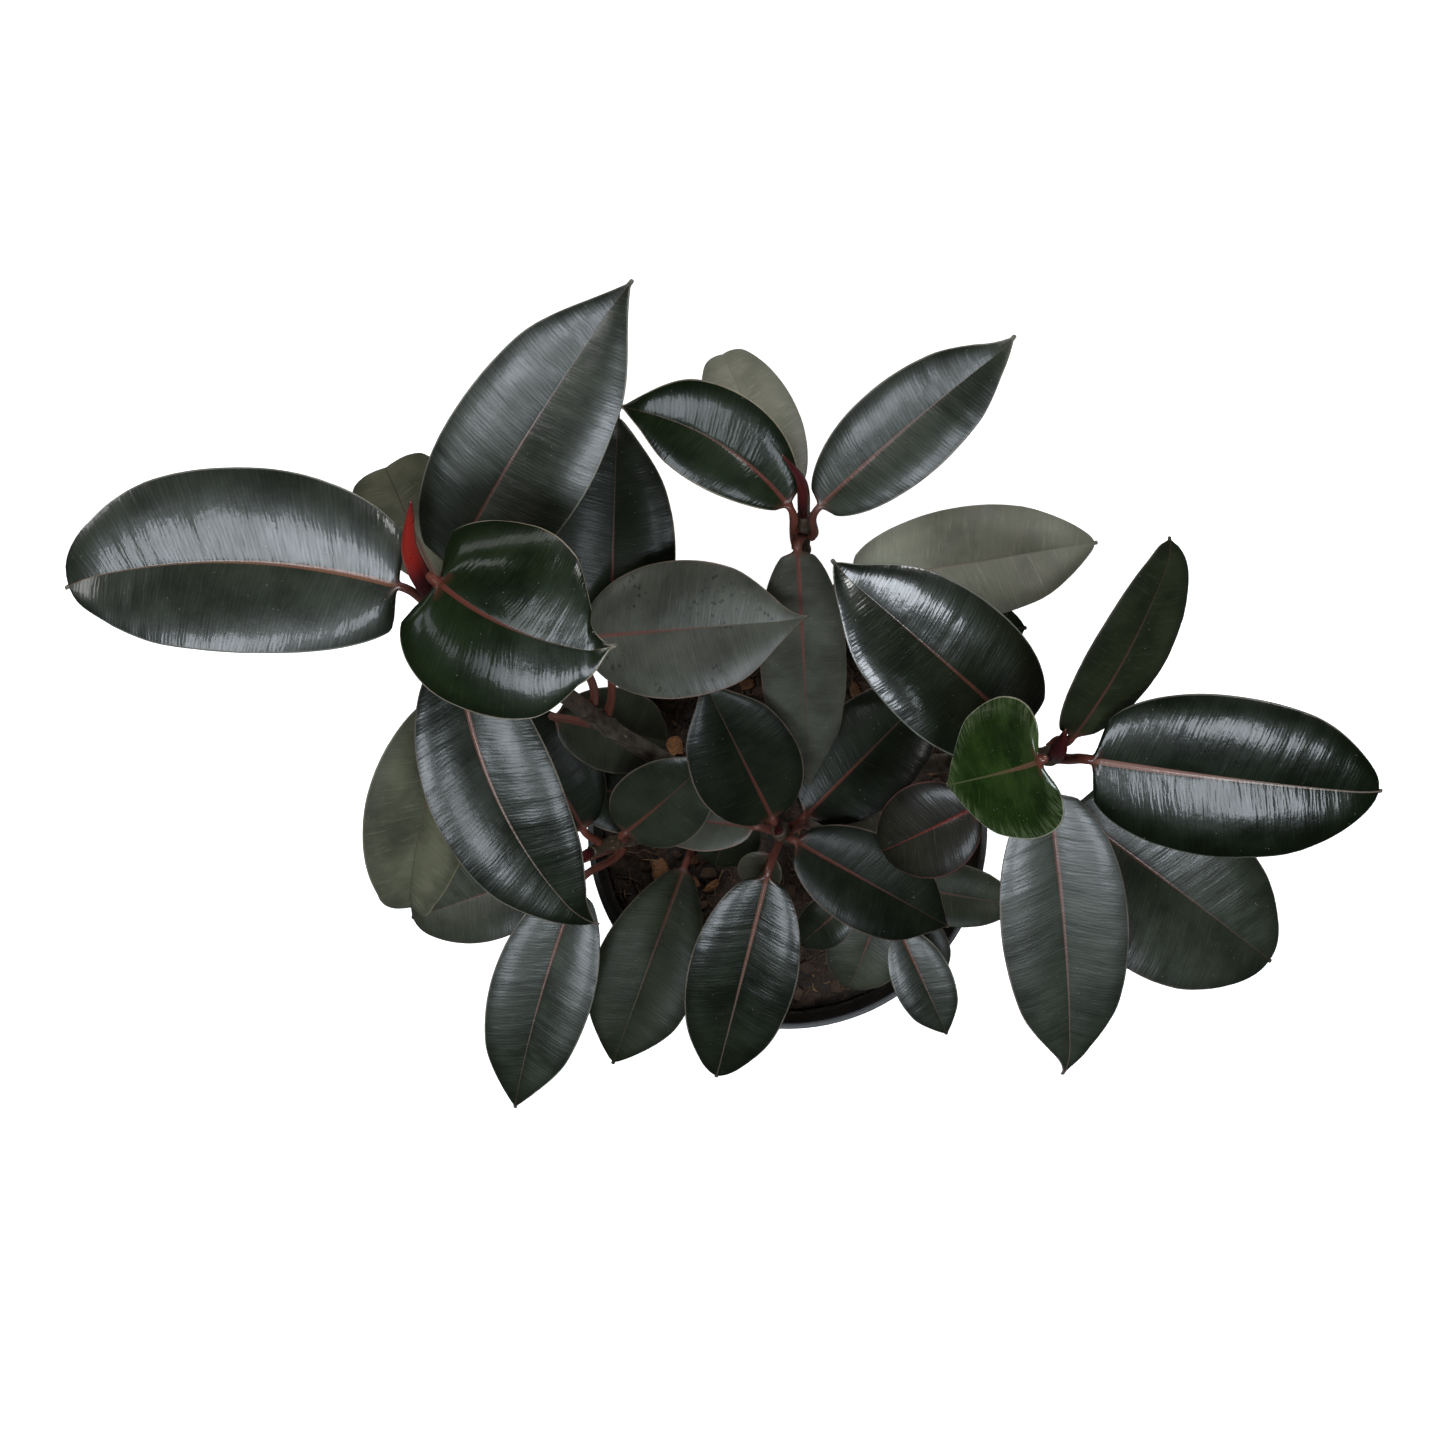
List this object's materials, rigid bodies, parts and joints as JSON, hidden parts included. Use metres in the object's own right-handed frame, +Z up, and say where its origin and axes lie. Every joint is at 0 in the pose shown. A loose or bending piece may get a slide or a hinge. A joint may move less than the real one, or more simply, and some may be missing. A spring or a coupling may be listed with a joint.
{
  "type": "potted rubber plant",
  "caption": "Bushy rubber plant with thick waxy dark green leaves on leaning canes, red bud sheaths at the tips, standing in a round black grow pot of soil.",
  "frame": {"origin": "middle of the pot's underside, on its flat foot pad", "axes": "+Z up the pot's axis, +X to the right and +Y to the top of a view from straight above, with the widest spread of leaves along X"},
  "size_m": [0.6365, 0.4383, 0.6223],
  "materials": {
    "pot_plastic": "satin black",
    "potting_mix": "rough dark brown fibrous mix",
    "cane_bark": "matte grey-brown bark",
    "leaf_green": "waxy gloss, very dark green",
    "sheath_red": "satin red"
  },
  "bodies": {
    "root": {"pot": "pot_plastic", "soil": "potting_mix", "cane_left": "cane_bark", "cane_back": "cane_bark", "cane_right": "cane_bark", "cane_middle": "cane_bark", "cane_low_left": "cane_bark", "cane_low_right": "cane_bark", "leaf_left_1": "leaf_green", "leaf_left_2": "leaf_green", "leaf_left_3": "leaf_green", "leaf_left_4": "leaf_green", "leaf_left_5": "leaf_green", "leaf_left_6": "leaf_green", "leaf_left_7": "leaf_green", "leaf_left_8": "leaf_green", "leaf_left_9": "leaf_green", "leaf_left_10": "leaf_green", "leaf_back_1": "leaf_green", "leaf_back_2": "leaf_green", "leaf_back_3": "leaf_green", "leaf_back_4": "leaf_green", "leaf_back_5": "leaf_green", "leaf_back_6": "leaf_green", "leaf_right_1": "leaf_green", "leaf_right_2": "leaf_green", "leaf_right_3": "leaf_green", "leaf_right_4": "leaf_green", "leaf_right_5": "leaf_green", "leaf_right_6": "leaf_green", "leaf_right_7": "leaf_green", "leaf_middle_1": "leaf_green", "leaf_middle_2": "leaf_green", "leaf_middle_3": "leaf_green", "leaf_middle_4": "leaf_green", "leaf_middle_5": "leaf_green", "leaf_middle_6": "leaf_green", "leaf_middle_7": "leaf_green", "leaf_middle_8": "leaf_green", "leaf_low_left_1": "leaf_green", "leaf_low_left_2": "leaf_green", "leaf_low_left_3": "leaf_green", "leaf_low_left_4": "leaf_green", "leaf_low_left_5": "leaf_green", "leaf_low_right_1": "leaf_green", "leaf_low_right_2": "leaf_green", "leaf_low_right_3": "leaf_green", "leaf_low_right_4": "leaf_green", "leaf_low_right_5": "leaf_green", "sheath_left": "sheath_red", "sheath_back": "sheath_red", "sheath_right": "sheath_red", "sheath_middle": "sheath_red", "sheath_low_left": "sheath_red"}
  },
  "joints": []
}
